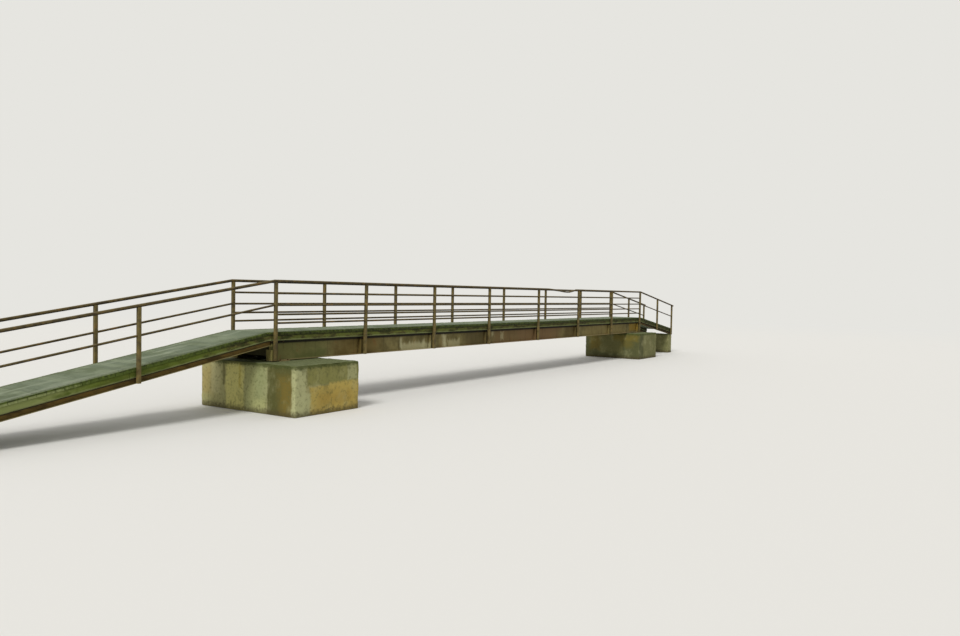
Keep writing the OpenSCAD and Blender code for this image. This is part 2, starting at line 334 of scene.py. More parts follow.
def coats(tree, colour, *layers):
    """Lays colours over a first one. A layer is its colour, its pattern, the pattern's values where the
    layer starts and where it is full, and how much it then covers."""
    for shade, pattern, start, full, most in layers:
        amount = add(tree, "MapRange", {
            "Value": pattern, "From Min": start, "From Max": full, "To Max": most,
        }, interpolation_type="SMOOTHSTEP")
        colour = add(tree, "Mix", {"Factor": amount, "A": colour, "B": shade}, data_type="RGBA")
    return colour


def ragged(tree, place, mm, reach):
    """The place pushed about by noise, so that what is drawn there gets a wandering edge."""
    noise = add(tree, "TexNoise", {"Vector": place, "Scale": per(mm), "Detail": 4, "Roughness": 0.55})
    push = add(tree, "VectorMath", {0: noise.outputs["Color"], 1: (0.5, 0.5, 0.5)}, operation="SUBTRACT")
    push = add(tree, "VectorMath", {0: push, "Scale": reach * 2}, operation="SCALE")
    return add(tree, "VectorMath", {0: place, 1: push}, operation="ADD")


def outside(tree, place, low, high):
    """How far a place is outside a box between two corners. It is below 0 inside."""
    centre = [(a + b) / 2 for a, b in zip(low, high)]
    half = [(b - a) / 2 for a, b in zip(low, high)]
    away = add(tree, "VectorMath", {0: place, 1: centre}, operation="SUBTRACT")
    away = add(tree, "VectorMath", {0: away}, operation="ABSOLUTE")
    away = add(tree, "VectorMath", {0: away, 1: half}, operation="SUBTRACT")
    axes = add(tree, "SeparateXYZ", {0: away}).outputs
    wider = add(tree, "Math", {0: axes[0], 1: axes[1]}, operation="MAXIMUM")
    return add(tree, "Math", {0: wider, 1: axes[2]}, operation="MAXIMUM")


def along_and_up(tree, place, slope):
    """How far along the bridge a place is, and how high with the rise of its ramp taken away."""
    axes = add(tree, "SeparateXYZ", {0: place}).outputs
    return axes[0], add(tree, "Math", {0: axes[0], 1: -slope, 2: axes[2]}, operation="MULTIPLY_ADD")


# Moss, old wood, rust and concrete are porous, so little light glances off them
GLANCE = 0.2


def matt_surface(made, colour, roughness, height, mm, metallic=0.0):
    """Gives a material its shader. The relief is this deep where its height runs from 0 to 1."""
    tree = made.node_tree
    relief = add(tree, "Bump", {"Height": height, "Distance": mm / 1000})
    surface = add(tree, "BsdfPrincipled", {
        "Base Color": colour, "Metallic": metallic, "Roughness": roughness,
        "Specular IOR Level": GLANCE, "Normal": relief})
    add(tree, "OutputMaterial", {"Surface": surface})
    return made


FAR = 99  # a side of a box that lies beyond the whole bridge

# Down the long ramp the timber's edges turn green and then pale, in part the moss's own colours and in
# part painted sunlight: where each starts and is full, as half the distance from the origin with some
# noise
TURNS_GREEN = (5.2, 5.7)
TURNS_PALE = (6.65, 7.1)

LUSH_X = -6.8  # where algae creep furthest in over the deck
PALE_END_X = -8.44  # where the pale end of the girders stops
# The short ramp's timber and channels are painted darker here as painted shade
SHADED_RAMP = (10.9, 12.0)  # between these places the short ramp gets darker


# Sawn pine boards, gone grey in the weather under a thin green film of algae. Long pale fibres stand
# between darker ones, each board has its own tone, and the edges of the deck are mossy. The lower half
# of the boards' ends has painted shade on the span, and painted sunlight down the long ramp.
def weathered_boards(name, start, slope):
    """The boards' top passes through the deck's break at start, and rises by slope. The lower half of
    their ends is painted dark as shade on the span, and down the long ramp it turns green and then pale,
    with moss colours and painted sunlight."""
    made, tree, place = new_material(name)
    tone = add(tree, "Attribute", attribute_name="tone").outputs["Fac"]
    along = add(tree, "Mapping", {"Vector": place, "Scale": (1, 1 / 40, 1)})
    grain = add(tree, "TexNoise", {"Vector": along, "Scale": per(9), "Detail": 5, "Roughness": 0.6})
    fibre = add(tree, "TexNoise", {"Vector": along, "Scale": per(3), "Detail": 3, "Roughness": 0.6})
    damp = add(tree, "TexNoise", {"Vector": place, "Scale": per(650), "Detail": 4, "Roughness": 0.6})
    tread = add(tree, "Mapping", {"Vector": place, "Scale": (1 / 6, 1, 1)})
    worn = add(tree, "TexNoise", {"Vector": tread, "Scale": per(240), "Detail": 3})
    clump = add(tree, "TexNoise", {"Vector": place, "Scale": per(55), "Detail": 5, "Roughness": 0.65})
    pushed = ragged(tree, place, 70, 0.02)
    edge = outside(tree, pushed, (-FAR, AXIS_Y - DECK_HALF, -FAR), (FAR, AXIS_Y + DECK_HALF, FAR))
    away = outside(tree, place, (LUSH_X, -FAR, -FAR), (LUSH_X, FAR, FAR))
    creeping = add(tree, "Math", {0: away, 1: -0.1, 2: edge}, operation="MULTIPLY_ADD")
    x, line = along_and_up(tree, place, slope)
    sunny = add(tree, "Math", {0: x, 1: -0.5, 2: clump}, operation="MULTIPLY_ADD")
    pale = coats(tree, "#747c4b", ("#8c9461", clump, 0.30, 0.70, 1.0))
    # lower half of the boards' ends: painted shade on the span; moss colours and painted sunlight down
    # the long ramp
    low_half = coats(
        tree, "#1e210c",
        ("#3a3f1a", clump, 0.36, 0.60, 1.0),
        ("#4e5e1c", sunny, *TURNS_GREEN, 0.7),
        (pale, sunny, *TURNS_PALE, 1.0))
    wavy = add(tree, "Math", {0: clump, 1: 0.02, 2: line}, operation="MULTIPLY_ADD")
    top = DECK_TOP - slope * start
    moss = coats(
        tree, "#262d0d",
        ("#46531a", clump, 0.36, 0.60, 1.0),
        ("#6b7a2e", clump, 0.56, 0.70, 0.5),
        (low_half, wavy, top - 0.008, top - 0.026, 0.9))
    colour = coats(
        tree, "#66705a",
        ("#7c856b", tone, 0.0, 1.0, 1.0),
        ("#4d553f", grain, 0.50, 0.30, 0.8),
        ("#969b81", fibre, 0.55, 0.75, 0.55),
        ("#566044", damp, 0.48, 0.66, 0.75),
        ("#8f967f", worn, 0.50, 0.68, 0.6),
        ("#525d2d", creeping, -0.42, -0.05, 0.65),
        ("#58632f", edge, -0.14, -0.03, 0.5),
        (moss, edge, -0.038, -0.004, 0.95))
    height = add(tree, "Math", {0: fibre, 1: 0.4, 2: grain}, operation="MULTIPLY_ADD")
    return matt_surface(made, colour, 0.88, height, 1.6)


# Heavy sawn timber that never dries under the deck. It is brown where the wood is bare, and elsewhere
# under dark moss, a yellow-green film of algae and pale lichen along the edge where the water drips.
# Painted shade darkens its upper part under the boards and all of the short ramp, and down the long
# ramp it turns green and then pale with moss colours and painted sunlight.
def mossy_timber(name, start, slope):
    """The timber's bottom passes under the deck's break at start, and rises by slope."""
    made, tree, place = new_material(name)
    along = add(tree, "Mapping", {"Vector": place, "Scale": (1 / 30, 1, 1)})
    grain = add(tree, "TexNoise", {"Vector": along, "Scale": per(11), "Detail": 5, "Roughness": 0.6})
    drawn = add(tree, "Mapping", {"Vector": place, "Scale": (1 / 3, 1, 1)})
    lumps = add(tree, "TexNoise", {"Vector": drawn, "Scale": per(110), "Detail": 6, "Roughness": 0.62})
    fine = add(tree, "TexNoise", {"Vector": place, "Scale": per(14), "Detail": 3, "Roughness": 0.6})
    x, line = along_and_up(tree, place, slope)
    sunny = add(tree, "Math", {0: x, 1: -0.5, 2: lumps}, operation="MULTIPLY_ADD")
    up = add(tree, "Math", {0: line, 1: NAILER_BOTTOM - slope * start}, operation="SUBTRACT")
    wavy = add(tree, "Math", {0: lumps, 1: -0.06, 2: up}, operation="MULTIPLY_ADD")
    film = coats(tree, "#454c1c", ("#6c7732", fine, 0.35, 0.65, 1.0))
    moss = coats(tree, "#242a0e", ("#3d4718", fine, 0.35, 0.65, 1.0))
    colour = coats(
        tree, "#352d1b",
        ("#5a4d30", grain, 0.35, 0.65, 1.0),
        (film, lumps, 0.40, 0.56, 0.85),
        (moss, lumps, 0.48, 0.38, 0.9),
        # painted shade on the upper part, under the boards' overhang
        ("#1c1f0c", wavy, NAILER_H - 0.065, NAILER_H - 0.040, 0.6),
        # green and then pale down the long ramp: moss colours and painted sunlight
        ("#56661f", sunny, *TURNS_GREEN, 0.6),
        ("#838b54", sunny, *TURNS_PALE, 0.8),
        ("#2c2813", x, -4.0, 3.0, 0.5),
        ("#868d5c", wavy, 0.010, -0.018, 0.75),
        # painted shade over the short ramp
        ("#23240f", x, *SHADED_RAMP, 0.4))
    height = add(tree, "Math", {0: fine, 1: 0.4, 2: lumps}, operation="MULTIPLY_ADD")
    return matt_surface(made, colour, 0.92, height, 5)


# Brown paint on steel pipe and tube, chalked and rusting through. What faces the sky is paler with dust
# and a painted highlight, what faces down is painted nearly black as shade, and the paint that is left
# between the rust shines a little.
def rusted_paint(name, dark, chalked):
    """The paint goes from its dark tone to its chalked one."""
    made, tree, place = new_material(name)
    bloom = add(tree, "TexNoise", {"Vector": place, "Scale": per(140), "Detail": 5, "Roughness": 0.62})
    pits = add(tree, "TexNoise", {"Vector": place, "Scale": per(9), "Detail": 4, "Roughness": 0.6})
    facing = add(tree, "SeparateXYZ", {0: add(tree, "NewGeometry").outputs["Normal"]}).outputs[2]
    colour = coats(
        tree, dark,
        (chalked, bloom, 0.35, 0.65, 1.0),
        ("#704b24", bloom, 0.56, 0.70, 0.6),
        ("#292013", pits, 0.44, 0.30, 0.8),
        # what faces up: dust and a painted highlight; what faces down: painted shade, nearly black
        ("#857a58", facing, 0.5, 1.0, 0.5),
        ("#1c150b", facing, -0.05, -0.7, 0.8))
    gloss = add(tree, "MapRange", {
        "Value": bloom, "From Min": 0.35, "From Max": 0.6, "To Min": 0.48, "To Max": 0.82})
    return matt_surface(made, colour, gloss, pits, 0.5)


# Each stain of the girders: colour, strength, half the width of its soft edge, where it starts and ends
GIRDER_STAINS = [
    ("#6f703f", 0.75, 0.40, -9.0, -6.8),
    ("#5e4b1c", 0.60, 0.30, -6.6, -5.0),
    ("#4b4122", 0.80, 0.35, -1.5, -0.25),
    ("#665231", 0.85, 0.35, -0.1, 4.3),
    ("#6f5537", 0.50, 0.35, 1.4, 3.9),
    ("#4c3e1c", 0.75, 0.25, 4.5, 5.5),
    ("#75683a", 0.60, 0.40, 6.0, 9.6),
]

# Each pale streak of dried minerals on the front girder: strength, start, end, bottom and top
MINERAL_STREAKS = [
    (0.80, -2.52, -2.32, 0.90, 1.38),
    (0.65, -4.36, -4.19, 1.05, 1.36),
    (0.55, -4.30, -3.00, 0.80, 1.22),
    (0.50, -3.46, -3.28, 0.90, 1.28),
    (0.42, -2.30, -1.70, 0.80, 1.24),
    (0.55, -0.09, 0.06, 1.20, 1.40),
    (0.60, 0.41, 0.57, 1.08, 1.36),
]


# Rolled steel under old brown paint, gone matt. It is olive with algae near the long ramp, darker and
# then red-brown along the span, ochre at the far end, with run-off streaks down the web, pale mineral
# stains, black dirt and painted shade under the timber, a painted highlight along the lower flange, and
# painted shade, nearly black, between the girders.
def girder_paint():
    made, tree, place = new_material("rusted_brown_paint_on_girders")
    wavy = ragged(tree, place, 420, 0.35)
    narrow = ragged(tree, place, 110, 0.05)
    down = add(tree, "Mapping", {"Vector": place, "Scale": (1, 1, 1 / 12)})
    streak = add(tree, "TexNoise", {"Vector": down, "Scale": per(70), "Detail": 5, "Roughness": 0.6})
    bloom = add(tree, "TexNoise", {"Vector": place, "Scale": per(300), "Detail": 6, "Roughness": 0.62})
    pits = add(tree, "TexNoise", {"Vector": place, "Scale": per(8), "Detail": 4, "Roughness": 0.6})
    height = add(tree, "SeparateXYZ", {0: place}).outputs[2]
    algae = outside(tree, wavy, (-7.7, -FAR, 0.90), (-6.9, FAR, 1.14))
    end_plate = outside(tree, place, (-9, -FAR, -FAR), (PALE_END_X, FAR, FAR))
    ochre = outside(tree, narrow, (10.1, -FAR, 1.10), (10.8, FAR, 1.36))
    # painted shade, nearly black, over all that lies between the girders' webs
    between = outside(
        tree, place, (girder_low.x + 0.03, WEB_Y["front"], -FAR), (FAR, WEB_Y["back"], FAR))
    stains = []
    for shade, most, soft, x0, x1 in GIRDER_STAINS:
        stain = outside(tree, wavy, (x0, -FAR, -FAR), (x1, FAR, FAR))
        stains.append((shade, stain, soft, -soft, most))
    minerals = []
    for most, x0, x1, z0, z1 in MINERAL_STREAKS:
        stain = outside(tree, narrow, (x0, -FAR, z0), (x1, 0, z1))
        broken = add(tree, "Math", {0: streak, 1: -0.3, 2: stain}, operation="MULTIPLY_ADD")
        minerals.append(("#b3ae86", broken, -0.13, -0.24, most))
    top, bottom = NAILER_BOTTOM, girder_low.z
    colour = coats(
        tree, "#5d5530",
        ("#7b7146", bloom, 0.35, 0.65, 1.0),
        *stains,
        ("#3f4d1c", algae, 0.14, -0.08, 0.4),
        ("#756c3b", end_plate, 0.02, -0.01, 0.85),
        ("#8f7428", ochre, 0.08, -0.05, 0.85),
        ("#704a1f", bloom, 0.57, 0.72, 0.45),
        ("#2f2713", streak, 0.44, 0.28, 0.55),
        ("#807850", streak, 0.58, 0.78, 0.35),
        *minerals,
        ("#2b2312", pits, 0.42, 0.30, 0.55),
        # the girder's top under the timber: black dirt and painted shade
        ("#0d0b06", height, top - 0.080, top - 0.040, 0.94),
        # a painted highlight along the lower flange
        ("#857150", height, bottom + 0.022, bottom + 0.006, 0.55),
        ("#1f190d", between, 0.002, -0.002, 0.75))
    relief = add(tree, "Math", {0: streak, 1: 0.4, 2: pits}, operation="MULTIPLY_ADD")
    return matt_surface(made, colour, 0.78, relief, 0.8)


# Rust-brown channel steel under the ramps, with ochre rust, a painted highlight along its lower flange,
# painted shade under the timbers, and painted shade over the short ramp
def channel_paint(name, start, slope):
    """The channels' bottom passes under the deck's break at start, and rises by slope."""
    made, tree, place = new_material(name)
    drawn = add(tree, "Mapping", {"Vector": place, "Scale": (1 / 3, 1, 1)})
    bloom = add(tree, "TexNoise", {"Vector": drawn, "Scale": per(130), "Detail": 5, "Roughness": 0.62})
    pits = add(tree, "TexNoise", {"Vector": place, "Scale": per(8), "Detail": 4, "Roughness": 0.6})
    x, line = along_and_up(tree, place, slope)
    top = NAILER_BOTTOM - slope * start
    bottom = top - STRINGER_H
    colour = coats(
        tree, "#463818",
        ("#6b5728", bloom, 0.35, 0.62, 1.0),
        ("#76551f", bloom, 0.58, 0.72, 0.5),
        ("#271d0e", pits, 0.42, 0.30, 0.7),
        # a painted highlight along the lower flange
        ("#8c8354", line, bottom + 0.014, bottom + 0.004, 0.7),
        # painted shade under the timbers
        ("#1a140a", line, top - 0.03, top - 0.008, 0.85),
        # painted shade over the short ramp
        ("#1c180d", x, *SHADED_RAMP, 0.5))
    return matt_surface(made, colour, 0.8, pits, 0.6)


# Screw, bolt and nut heads, and weld beads: plain steel gone dark brown with rust
def rusted_fixings():
    made, tree, place = new_material("rusted_steel_fixings")
    bloom = add(tree, "TexNoise", {"Vector": place, "Scale": per(7), "Detail": 4, "Roughness": 0.6})
    colour = coats(tree, "#2c2214", ("#644627", bloom, 0.35, 0.65, 1.0))
    return matt_surface(made, colour, 0.8, bloom, 0.4, metallic=0.3)


# Poured concrete, decades old. Its beige has gone olive with algae, it is mottled where the skin has
# weathered off the sand, with small blow-holes, run-off from the top, moss along its upper edges, a
# green crust on top, dirt on its foot, and soft-edged stains that each block has a list of. The left
# block's list also holds painted light, painted shade and a painted highlight.
def stained_concrete(name, top, stains):
    made, tree, place = new_material(name)
    broad = add(tree, "TexNoise", {"Vector": place, "Scale": per(420), "Detail": 6, "Roughness": 0.62})
    mottle = add(tree, "TexNoise", {"Vector": place, "Scale": per(60), "Detail": 4})
    down = add(tree, "Mapping", {"Vector": place, "Scale": (1, 1, 1 / 5)})
    streak = add(tree, "TexNoise", {"Vector": down, "Scale": per(150), "Detail": 5, "Roughness": 0.6})
    grit = add(tree, "TexNoise", {"Vector": place, "Scale": per(6), "Detail": 4, "Roughness": 0.7})
    holes = add(tree, "TexVoronoi", {"Vector": place, "Scale": per(46)}).outputs["Distance"]
    facing = add(tree, "SeparateXYZ", {0: add(tree, "NewGeometry").outputs["True Normal"]}).outputs[2]
    height = add(tree, "SeparateXYZ", {0: place}).outputs[2]
    drips = add(tree, "Math", {0: streak, 1: -0.9, 2: height}, operation="MULTIPLY_ADD")
    wavy = add(tree, "Math", {0: mottle, 1: 0.16, 2: height}, operation="MULTIPLY_ADD")
    green = coats(tree, "#2f3217", ("#4f5729", grit, 0.30, 0.70, 1.0))
    crust = coats(
        tree, "#535938",
        ("#6f7550", mottle, 0.28, 0.72, 1.0),
        ("#4a5030", broad, 0.46, 0.30, 0.6))
    drawn = []
    for shade, most, mm, reach, soft, low, high in stains:
        stain = outside(tree, ragged(tree, place, mm, reach), low, high)
        drawn.append((shade, stain, soft, -soft, most))
    colour = coats(
        tree, "#74734a",
        ("#8f8b60", broad, 0.35, 0.65, 1.0),
        ("#a8a67c", mottle, 0.52, 0.76, 0.4),
        *drawn,
        ("#a19f74", broad, 0.50, 0.70, 0.3),
        ("#45472a", broad, 0.46, 0.30, 0.3),
        ("#5b5c36", mottle, 0.52, 0.28, 0.5),
        ("#4c4d2b", drips, top - 0.60, top - 0.38, 0.45),
        (green, wavy, top - 0.02, top + 0.045, 0.85),
        (crust, facing, 0.75, 0.95, 0.85),
        ("#463e27", wavy, 0.24, 0.10, 0.75),
        ("#33301c", holes, 0.12, 0.07, 0.3),
        ("#4f4c30", grit, 0.42, 0.28, 0.5))
    pit = add(tree, "MapRange", {
        "Value": holes, "From Min": 0.07, "From Max": 0.13, "To Min": -1.0, "To Max": 0.0})
    relief = add(tree, "Math", {0: grit, 1: 0.6, 2: pit}, operation="MULTIPLY_ADD")
    return matt_surface(made, colour, 0.92, relief, 1.5)


# Each stain of a concrete block: colour, strength, lump size in mm and reach of its wandering edge,
# half the width of its soft edge, its two corners. The left block's list also holds a painted pool of
# light, a painted shadow and a painted highlight, in the same columns.
LEFT_STAINS_AND_PAINTED_LIGHT = [
    ("#a9a572", 0.85, 300, 0.12, 0.06, (-9.6, 0.62, -1), (-8, 1.9, 2)),
    ("#a48e54", 0.60, 260, 0.16, 0.15, (-9.6, 1.05, 0.3), (-8, 1.9, 0.85)),
    ("#b9b384", 0.60, 120, 0.05, 0.05, (-9.6, 0.8, 0.3), (-8, 1.08, 1.12)),
    ("#544f28", 0.70, 130, 0.04, 0.04, (-9.6, 0.63, 0.5), (-8, 0.72, 2)),
    # painted light: a pool of light painted where the deck's shade falls
    ("#d2cb7e", 0.85, 220, 0.10, 0.05, (-9.6, 0.05, -1), (-8, 0.62, 2)),
    ("#ab9a3c", 0.60, 120, 0.05, 0.035, (-9.6, 0.16, 0.45), (-8, 0.22, 0.99)),
    ("#9fa06c", 0.90, 240, 0.10, 0.10, (-9.6, -0.58, -1), (-8, 0.05, 2)),
    ("#878c61", 0.75, 160, 0.08, 0.12, (-9.6, -0.66, 0.3), (-8, -0.25, 0.94)),
    # painted shadow: a cast shadow on the face towards the long ramp, beside the corner
    ("#4b4a22", 0.92, 160, 0.035, 0.025, (-9.6, -1.3, -1), (-8.6, -0.62, 2)),
    ("#77652a", 0.65, 200, 0.12, 0.14, (-9.6, -1.35, -0.5), (-8.6, -0.95, 0.78)),
    ("#7b7944", 0.92, 200, 0.05, 0.03, (-8.5, -1.9, 0.585), (-7, -1.25, 1.6)),
    ("#a8934b", 0.85, 160, 0.05, 0.035, (-8.44, -1.9, -1), (-6.8, -1.25, 0.57)),
    ("#ad9850", 0.80, 160, 0.05, 0.035, (-7.9, -1.9, -1), (-6.8, -1.25, 0.615)),
    ("#8f7430", 0.50, 150, 0.12, 0.12, (-8.2, -1.9, 0.15), (-7.2, -1.25, 0.42)),
    ("#a5a679", 0.85, 130, 0.06, 0.035, (-9.6, -1.9, -1), (-8.53, -1.31, 2)),
    ("#a5a679", 0.75, 130, 0.08, 0.06, (-9.6, -1.9, -1), (-8.4, -1.33, 0.44)),
    # painted highlight: a pale strip of light at the front face's right end
    ("#9c9b70", 0.80, 120, 0.05, 0.03, (-7.37, -1.9, 0.63), (-7.08, -1.25, 0.97)),
]
RIGHT_STAINS = [
    ("#46482a", 0.88, 260, 0.10, 0.08, (9, -1.6, -1), (10.1, 1.9, 2)),
    ("#5f5f39", 0.60, 260, 0.10, 0.08, (10.1, -1.6, -1), (12.5, 1.9, 2)),
    ("#7a7648", 0.60, 200, 0.10, 0.08, (9, -0.2, 0.2), (9.9, 0.8, 0.9)),
    ("#6f6226", 0.75, 180, 0.12, 0.08, (9, -0.86, 0.7), (9.8, 0.18, 1.1)),
    ("#6f6226", 0.55, 180, 0.14, 0.12, (9, -0.62, 0.45), (9.8, -0.15, 0.95)),
    ("#7a682a", 0.60, 180, 0.14, 0.12, (9, 0.75, 0.3), (9.9, 1.2, 0.85)),
]
FOOTING_STAINS = [
    ("#6d6c43", 0.60, 200, 0.15, 0.10, (-15.5, -0.2, -1), (-14, 0.6, 2)),
    ("#6d6c43", 0.60, 200, 0.15, 0.10, (14, -0.2, -1), (15.5, 0.6, 2)),
]


# Deck boards and their screws

BOARD_GAP = 0.005
BOARD_EDGE = 0.004
BOARD_CUP = 0.0012
LEFT_BREAK_GAP = 0.012
RIGHT_BREAK_GAP = 0.010
SCREW_R = 0.0065
SCREW_H = 0.0035
SCREW_IN = 0.08  # from a board's end

# How much boards and screws differ, in metres, or in radians where they turn
END_DRIFT = 0.004
SINK = 0.002
SKEW = 0.0012
ROCK = 0.0015
SCREW_DRIFT = 0.006


def spread(most):
    """A draw between a value and its negative."""
    return dice.uniform(-most, most)


def board_pattern(pitch, thickness):
    """One board across the walkway, its top's middle at the origin, a little cupped and worn round."""
    half = (pitch - BOARD_GAP) / 2
    board = block("board", (-half, -DECK_HALF, -thickness), (half, DECK_HALF, 0))
    cut(board, 0, half * 2 / 3)
    cut(board, 1, 0.4)
    pick(board, "verts", lambda v: abs(v.co.x) < half / 2 and v.co.z > -thickness / 2)
    bpy.ops.transform.translate(value=(0, 0, -BOARD_CUP))
    leave()
    soften(board, BOARD_EDGE, 1)
    tone = board.data.attributes.new("tone", "FLOAT", "POINT")
    tone.data.foreach_set("value", [0.5] * len(board.data.vertices))
    return board


def screw_pattern():
    """A domed screw head, its seat just under the origin."""
    screw = disc("screw", 10, SCREW_R, SCREW_H, -0.0005)
    soften(screw, 0.0015, 1)
    return screw


def lay_boards(name, x0, x1, thickness, count):
    """Boards from one end of a deck to the other, each a little different, and their screws."""
    run = x1 - x0
    slope = (deck_z(x1) - deck_z(x0)) / run
    tilt = Matrix.Rotation(-math.atan(slope), 4, "Y")
    pitch = run * math.hypot(1, slope) / count
    board, screw = board_pattern(pitch, thickness), screw_pattern()
    boards, screws = [], []
    for n in range(count):
        x = x0 + (n + 0.5) * run / count
        lay = at(x, AXIS_Y + spread(END_DRIFT), deck_z(x) - dice.uniform(0, SINK))
        skew = Matrix.Rotation(spread(SKEW), 4, "Z")
        rock = Matrix.Rotation(spread(ROCK), 4, "X")
        place = lay @ tilt @ skew @ rock
        made = copy_of(board, place)
        tone = [dice.random()] * len(made.data.vertices)
        made.data.attributes["tone"].data.foreach_set("value", tone)
        boards.append(made)
        for side in (-1, 1):
            for part in (-1, 1):
                spot = at(part * pitch / 4 + spread(SCREW_DRIFT), side * (DECK_HALF - SCREW_IN), 0)
                screws.append(copy_of(screw, place @ spot))
    drop(board, screw)
    return joined(name, boards), joined(name + "_screws", screws)


def add_decks(fixings):
    for node, x0, x1, start, slope, count in (
        ("main_deck", deck_low.x, deck_high.x, 0, 0, 137),
        ("left_ramp_deck", left_low.x, left_high.x - LEFT_BREAK_GAP, *RAMPS["left"], 43),
        ("right_ramp_deck", right_low.x + RIGHT_BREAK_GAP, right_high.x, *RAMPS["right"], 25),
    ):
        name = node.replace("deck", "boards")
        boards, screws = lay_boards(name, x0, x1, PLANK_T * math.cos(math.atan(slope)), count)
        smooth(boards)
        dress(boards, "deck_timber", weathered_boards("weathered_pine_" + name, start, slope), node)
        dress(screws, "railing_steel", fixings)


# Timbers under the boards

LENGTH_GAP = 0.003
TIMBER_EDGE = 0.007
MOSS_GRID = (0.04, 0.035, 0.035)  # fine enough for cushions of moss
RAMP_TIMBER_W = 0.060


def timber(low, high, lengths):
    """Butted lengths of heavy timber, with worn edges and cushions of moss."""
    parts = []
    step = (high[0] - low[0]) / lengths
    for n in range(lengths):
        start = low[0] + n * step + LENGTH_GAP / 2
        part = block("timber", (start, low[1], low[2]), (start + step - LENGTH_GAP, high[1], high[2]))
        soften(part, TIMBER_EDGE, 2)
        for axis, spacing in enumerate(MOSS_GRID):
            cut(part, axis, spacing)
        parts.append(part)
    made = joined("timber", parts)
    modify(made, "DISPLACE", texture=clouds("swell", 0.25), strength=0.005, mid_level=0.62)
    modify(made, "DISPLACE", texture=clouds("cushions", 0.05), strength=0.007, mid_level=0.60)
    smooth(made, 50)
    return made


def add_timbers():
    """The span's timbers in four lengths, and those of the long ramp in two."""
    level = mossy_timber("mossy_timber", 0, 0)
    for node in ("front_nailer", "back_nailer"):
        made = timber(*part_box(node), 4)
        made.name = node.replace("nailer", "timbers")
        dress(made, "mossy_timber", level, node)
    for ramp, lengths in (("left", 2), ("right", 1)):
        low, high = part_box(ramp + "_ramp_nailers")
        low.z, high.z = NAILER_BOTTOM, NAILER_BOTTOM + NAILER_H
        parts = []
        for y in (low.y, high.y - RAMP_TIMBER_W):
            parts.append(timber((low.x, y, low.z), (high.x, y + RAMP_TIMBER_W, high.z), lengths))
        made = joined(ramp + "_ramp_timbers", parts)
        for v in made.data.vertices:
            v.co.z += deck_z(v.co.x) - DECK_TOP
        material = mossy_timber(ramp + "_ramp_mossy_timber", *RAMPS[ramp])
        dress(made, "mossy_timber", material, ramp + "_ramp_nailers")


# Railing

PIPE_SIDES = 28
TUBE_CORNER = 0.008
TUBE_WALL = 0.005
OPEN_FOOT = 0.06
THIN_BEAD = 0.003
THICK_BEAD = 0.0035
POST_BEAD = 0.92  # of the top rail's radius, for the beads on the posts' tops
CAP_EDGE = 0.004
CAP_DOME = 0.003


def post_pattern(height):
    """A square tube on end, its foot at the origin, with rounded corners and an open foot."""
    half = POST_S / 2
    post = block("post", (-half, -half, 0), (half, half, height))
    pick(post, "edges", runs_along(2))
    bpy.ops.mesh.bevel(offset=TUBE_CORNER, segments=4, affect="EDGES")
    leave()
    pick(post, "faces", lambda f: f.normal.z < -0.9)
    bpy.ops.mesh.inset(thickness=TUBE_WALL)
    bpy.ops.mesh.extrude_region_move(TRANSFORM_OT_translate={"value": (0, 0, OPEN_FOOT)})
    leave()
    return post


def ring_bead_pattern(radius, thickness):
    """A weld bead round a pipe along X, at the origin."""
    deselect()
    bpy.ops.mesh.primitive_torus_add(
        major_radius=radius, minor_radius=thickness, major_segments=16, minor_segments=5,
        rotation=(0, math.pi / 2, 0))
    bead = settle("bead")
    modify(bead, "DISPLACE", texture=clouds("ripple", 0.008), strength=0.002, mid_level=0.5)
    return bead


def pipe(name, y, stations, radius):
    """A round pipe drawn out from one circle through upright stations along the bridge."""
    deselect()
    x, z = stations[0]
    bpy.ops.mesh.primitive_circle_add(
        vertices=PIPE_SIDES, radius=radius, fill_type="NGON",
        location=(x, y, z), rotation=(0, math.pi / 2, 0))
    made = settle(name)
    bpy.ops.object.mode_set(mode="EDIT")
    bpy.ops.mesh.select_all(action="SELECT")
    for (x0, z0), (x1, z1) in zip(stations, stations[1:]):
        bpy.ops.mesh.extrude_region_move(TRANSFORM_OT_translate={"value": (x1 - x0, 0, z1 - z0)})
    bpy.ops.mesh.select_all(action="SELECT")
    bpy.ops.mesh.normals_make_consistent(inside=False)
    leave()
    return made


def add_posts(steel):
    """The square posts of the span and of the ramps."""
    pattern = post_pattern(DECK_TOP + TOP_RAIL - SADDLE - girder_low.z)
    for side, y in POST_Y.items():
        for n, x in enumerate(POST_X, 1):
            lean = Matrix.Rotation(LEAN if (side, n) == ("front", 2) else 0, 4, "Y")
            post = copy_of(pattern, at(x, y, girder_low.z) @ lean)
            post.name = f"{side}_tube_{n}"
            smooth(post)
            dress(post, "railing_steel", steel, f"{side}_post_{n}")
    drop(pattern)
    for ramp, places in (("left", LEFT_POST_X), ("right", RIGHT_POST_X)):
        for side, y in POST_Y.items():
            parts = []
            for x in places:
                foot = ramp_underside(x)
                part = post_pattern(top_rail_z(x) - SADDLE - foot)
                part.data.transform(at(x, y, foot))
                parts.append(part)
            made = joined(f"{ramp}_ramp_{side}_tubes", parts)
            smooth(made)
            dress(made, "railing_steel", steel, f"{ramp}_ramp_{side}_posts")


# Dent of the front top rail in the fifth bay. Each row is a place along the bay from the deepest
# point, the share of the depth there, and how far the pipe is squashed.
DENT_PLACE = 0.67
DENT_DEPTH = 0.075
DENT = [
    (-0.45, 0.0, 0.0), (-0.32, 0.20, 0.02), (-0.17, 0.5, 0.05), (-0.06, 0.86, 0.12), (0.0, 1.0, 0.22),
    (0.05, 0.97, 0.18), (0.09, 0.9, 0.10), (0.17, 0.44, 0.04), (0.25, 0.0, 0.0),
]


